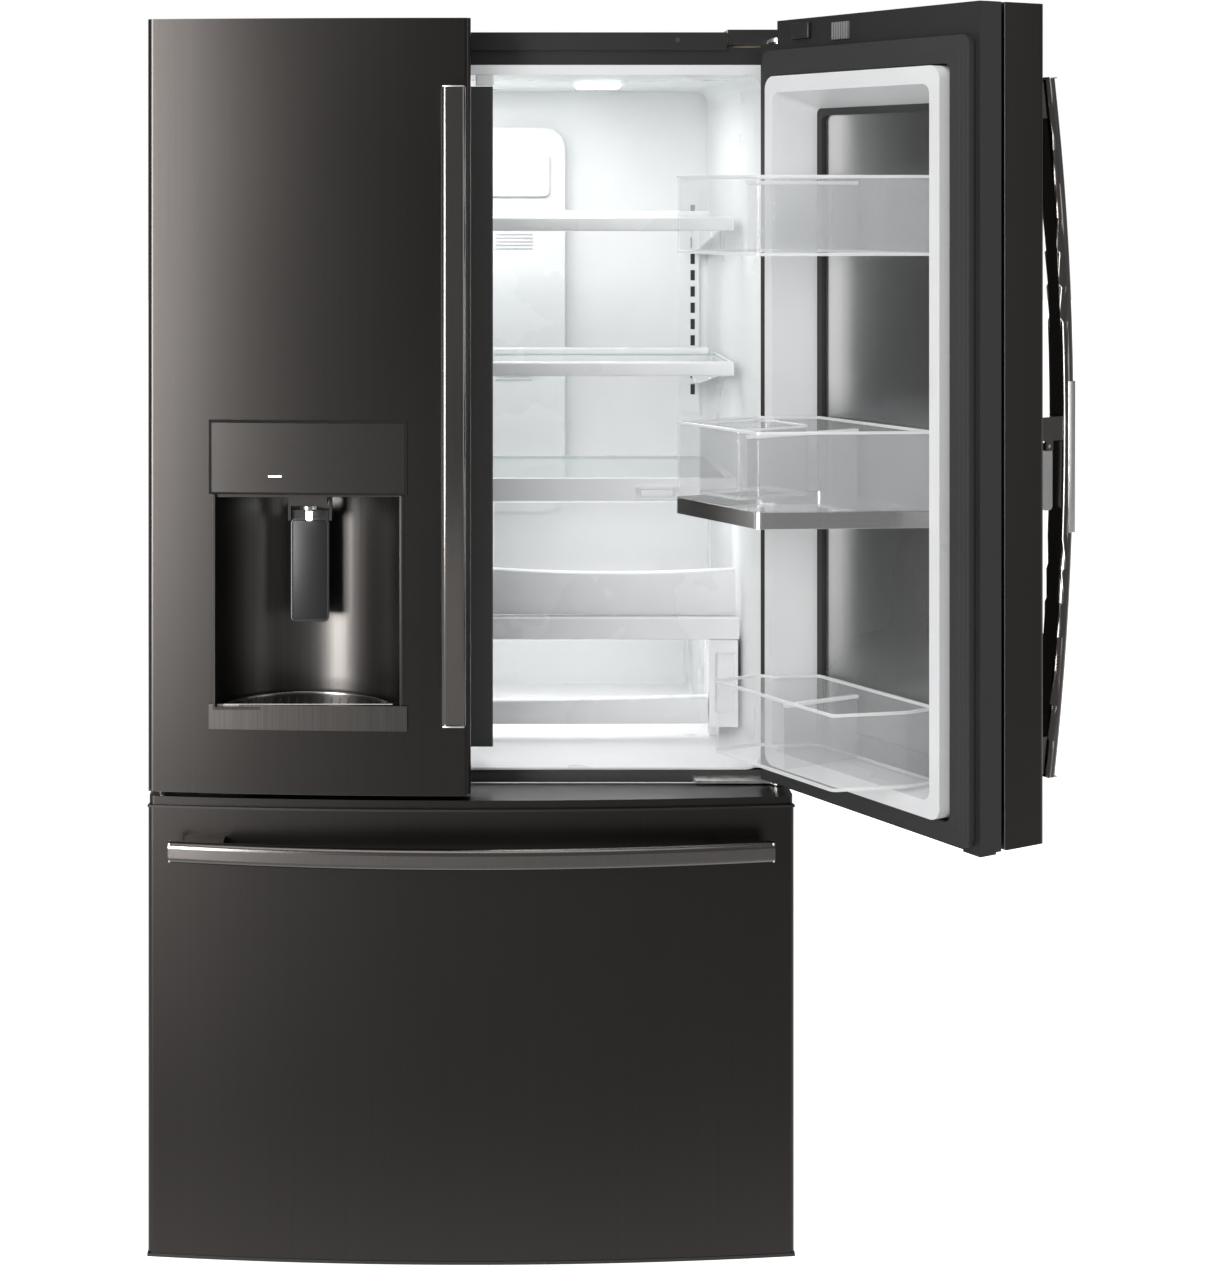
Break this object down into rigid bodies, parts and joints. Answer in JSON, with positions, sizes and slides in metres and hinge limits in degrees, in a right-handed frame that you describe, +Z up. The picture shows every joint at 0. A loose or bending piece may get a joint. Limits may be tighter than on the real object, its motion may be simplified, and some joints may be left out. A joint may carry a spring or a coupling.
{
  "type": "french door refrigerator",
  "caption": "French door refrigerator with a water and ice dispenser, a door set in the open right door, bins, shelves and crispers inside, and a bottom freezer drawer.",
  "frame": {"origin": "floor level under the middle of the cabinet: X = 0 on its centreline, Y = 0 midway between the cabinet's front plane and its back", "axes": "+Z up, the fridge's front looks along -Y, +X towards the right door seen from the front"},
  "size_m": [1.2387, 1.0992, 1.778],
  "materials": {
    "dark_steel": "vertically brushed dark metal",
    "dark_handle": "brushed dark metal",
    "side_steel": "dark grey satin",
    "bright_steel": "vertically brushed, bright",
    "white_liner": "smooth white",
    "insulation": "rigid foam",
    "black_plastic": "fine grain black",
    "gloss_black": "high gloss black",
    "gasket": "soft ribbed",
    "clear_plastic": "clear",
    "shelf_glass": "clear with ground edges",
    "galvanised": "galvanised",
    "frame_plastic": "dark grey satin",
    "zinc": "zinc plated",
    "copper": "bare tube",
    "coil": "mill finish",
    "compressor_paint": "semi gloss black",
    "lens": "frosted"
  },
  "bodies": {
    "cabinet": {"case_shell": "side_steel", "foam_insulation": "insulation", "fridge_liner": "white_liner", "freezer_liner": "white_liner", "top_trim": "black_plastic", "center_rail": "side_steel", "rear_panel": "galvanised", "rear_connections": "black_plastic", "air_duct": "white_liner", "light_lenses": "lens", "shelf_tracks": "white_liner", "shelf_frames": "white_liner", "glass_panes": "shelf_glass", "crisper_cover": "white_liner", "drawer_cover": "white_liner", "side_fillers": "white_liner", "door_hinges": "zinc", "mullion_guide": "white_liner", "base_frame": "galvanised", "base_grille": "black_plastic", "leveling_legs": "black_plastic", "compressor": "compressor_paint", "condenser": "coil", "evaporator": "coil", "outer_slides": "zinc"},
    "filter_cover": {"filter_cover": "white_liner"},
    "humidity_slider": {"humidity_slider": "white_liner"},
    "right_crisper": {"right_crisper": "clear_plastic"},
    "left_crisper": {"left_crisper": "clear_plastic"},
    "full_width_drawer": {"full_width_drawer": "clear_plastic"},
    "condenser_fan": {"condenser_fan": "black_plastic"},
    "evaporator_fan": {"evaporator_fan": "black_plastic"},
    "rear_roller_left": {"rear_roller_left": "black_plastic"},
    "rear_roller_right": {"rear_roller_right": "black_plastic"},
    "middle_slides": {"middle_slides": "zinc"},
    "freezer_drawer": {"drawer_panel": "dark_steel", "drawer_liner": "white_liner", "drawer_gasket": "gasket", "drawer_handle": "dark_handle", "freezer_bins": "clear_plastic"},
    "left_door": {"left_panel": "dark_steel", "left_liner": "white_liner", "left_gasket": "gasket", "left_handle": "dark_handle", "dispenser_housing": "dark_steel", "control_panel": "gloss_black", "ice_compartment": "white_liner", "left_bin": "clear_plastic"},
    "dispenser_paddle": {"dispenser_paddle": "black_plastic"},
    "mullion": {"mullion": "black_plastic"},
    "right_door": {"right_frame": "frame_plastic", "right_liner": "white_liner", "right_gaskets": "gasket", "top_bin": "clear_plastic", "middle_bin": "clear_plastic", "bottom_bin": "clear_plastic"},
    "outer_door": {"outer_panel": "dark_steel", "inner_skin": "bright_steel", "right_handle": "dark_handle"},
    "latch_trigger": {"latch_trigger": "bright_steel"}
  },
  "joints": [
    {"name": "left_door_hinge", "type": "hinge", "parent": "cabinet", "child": "left_door", "pos_m": [-0.44, -0.357, 0.7], "axis": [0, 0, -1], "range_deg": [0, 120]},
    {"name": "mullion_pivot", "type": "hinge", "parent": "left_door", "child": "mullion", "pos_m": [-0.018, -0.3135, 0.734], "axis": [0, 0, 1], "range_deg": [0, 90]},
    {"name": "right_door_hinge", "type": "hinge", "parent": "cabinet", "child": "right_door", "pos_m": [0.44, -0.357, 0.7], "axis": [0, 0, 1], "range_deg": [-120, 2]},
    {"name": "outer_door_hinge", "type": "hinge", "parent": "right_door", "child": "outer_door", "pos_m": [0.47118, -0.339, 0.7], "axis": [0, 0, 1], "range_deg": [0, 58]},
    {"name": "latch_trigger_pivot", "type": "hinge", "parent": "outer_door", "child": "latch_trigger", "pos_m": [0.7424, -0.65699, 1.205], "axis": [0.5, -0.866, 0], "range_deg": [0, 6], "stiffness_Nm_per_rad": 0.3},
    {"name": "dispenser_paddle_pivot", "type": "hinge", "parent": "left_door", "child": "dispenser_paddle", "pos_m": [-0.228, -0.38021, 1.076], "axis": [1, 0, 0], "range_deg": [0, 8], "stiffness_Nm_per_rad": 1},
    {"name": "freezer_drawer_slide", "type": "slide", "parent": "cabinet", "child": "freezer_drawer", "axis": [0, -1, 0], "range_m": [0, 0.4]},
    {"name": "middle_slide", "type": "slide", "parent": "cabinet", "child": "middle_slides", "axis": [0, -1, 0], "range_m": [0, 0.2]},
    {"name": "right_crisper_slide", "type": "slide", "parent": "cabinet", "child": "right_crisper", "axis": [0, -1, 0], "range_m": [0, 0.25]},
    {"name": "left_crisper_slide", "type": "slide", "parent": "cabinet", "child": "left_crisper", "axis": [0, -1, 0], "range_m": [0, 0.14]},
    {"name": "full_width_drawer_slide", "type": "slide", "parent": "cabinet", "child": "full_width_drawer", "axis": [0, -1, 0], "range_m": [0, 0.09]},
    {"name": "filter_cover_hinge", "type": "hinge", "parent": "cabinet", "child": "filter_cover", "pos_m": [-0.01, 0.2201, 1.563], "axis": [0, 0, -1], "range_deg": [0, 75]},
    {"name": "humidity_slide", "type": "slide", "parent": "cabinet", "child": "humidity_slider", "axis": [1, 0, 0], "range_m": [0, 0.03]},
    {"name": "condenser_fan_spin", "type": "hinge", "parent": "cabinet", "child": "condenser_fan", "pos_m": [0.003, 0.171, 0.155], "axis": [1, 0, 0], "continuous": true},
    {"name": "evaporator_fan_spin", "type": "hinge", "parent": "cabinet", "child": "evaporator_fan", "pos_m": [0, 0.136, 0.56], "axis": [0, -1, 0], "continuous": true},
    {"name": "rear_roller_left_spin", "type": "hinge", "parent": "cabinet", "child": "rear_roller_left", "pos_m": [-0.4, 0.265, 0.024], "axis": [1, 0, 0], "continuous": true},
    {"name": "rear_roller_right_spin", "type": "hinge", "parent": "cabinet", "child": "rear_roller_right", "pos_m": [0.4, 0.265, 0.024], "axis": [1, 0, 0], "continuous": true}
  ],
  "couplings": [
    {"joint": "mullion_pivot", "follows": "left_door_hinge", "ratio": 0.75},
    {"joint": "middle_slide", "follows": "freezer_drawer_slide", "ratio": 0.5}
  ]
}
